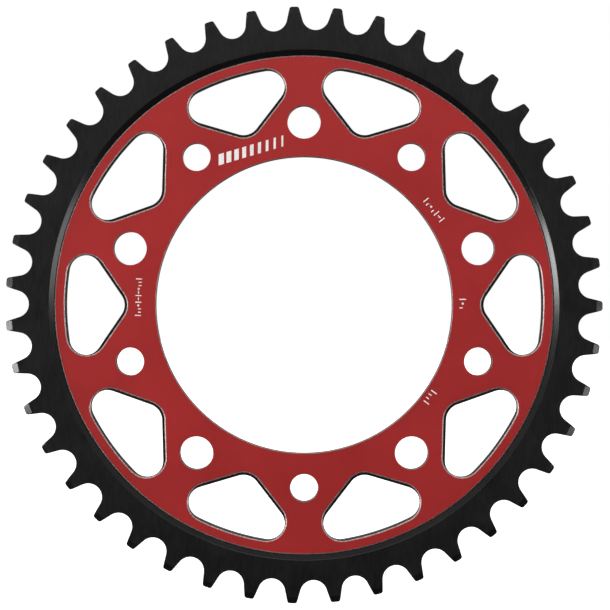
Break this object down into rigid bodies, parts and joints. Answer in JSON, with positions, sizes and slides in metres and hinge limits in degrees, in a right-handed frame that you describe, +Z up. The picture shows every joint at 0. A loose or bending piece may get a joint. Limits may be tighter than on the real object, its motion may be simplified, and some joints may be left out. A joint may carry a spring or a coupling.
{
  "type": "motorcycle rear sprocket",
  "caption": "Flat toothed steel chain sprocket with rounded weight-saving windows, a ring of bolt holes, a wide centre bore and a red anodised face disc set in a recess.",
  "frame": {"origin": "centre of the bolt circle, on the wheel axis, in the plane of the flat mounting face", "axes": "+Y along the wheel axis out of the mounting face, towards the wheel hub; the marked outer face with the red disc looks towards -Y; +Z up through the middle of a large bolt hole; +X to the right seen from the outer face"},
  "size_m": [0.2248, 0.0072, 0.2249],
  "materials": {
    "black_steel": "matte black finish on hardened steel, with fine turning lines",
    "red_anodised": "satin red anodised, bare bright bevelled edges",
    "bond": "dull adhesive film",
    "etched_white": "matte white etched"
  },
  "bodies": {
    "root": {"toothed_body": "black_steel", "face_disc": "red_anodised", "bond_film": "bond", "emblem_mark": "etched_white", "pattern_mark": "etched_white", "series_mark": "etched_white", "tooth_count_mark": "etched_white", "origin_mark": "etched_white"}
  },
  "joints": []
}
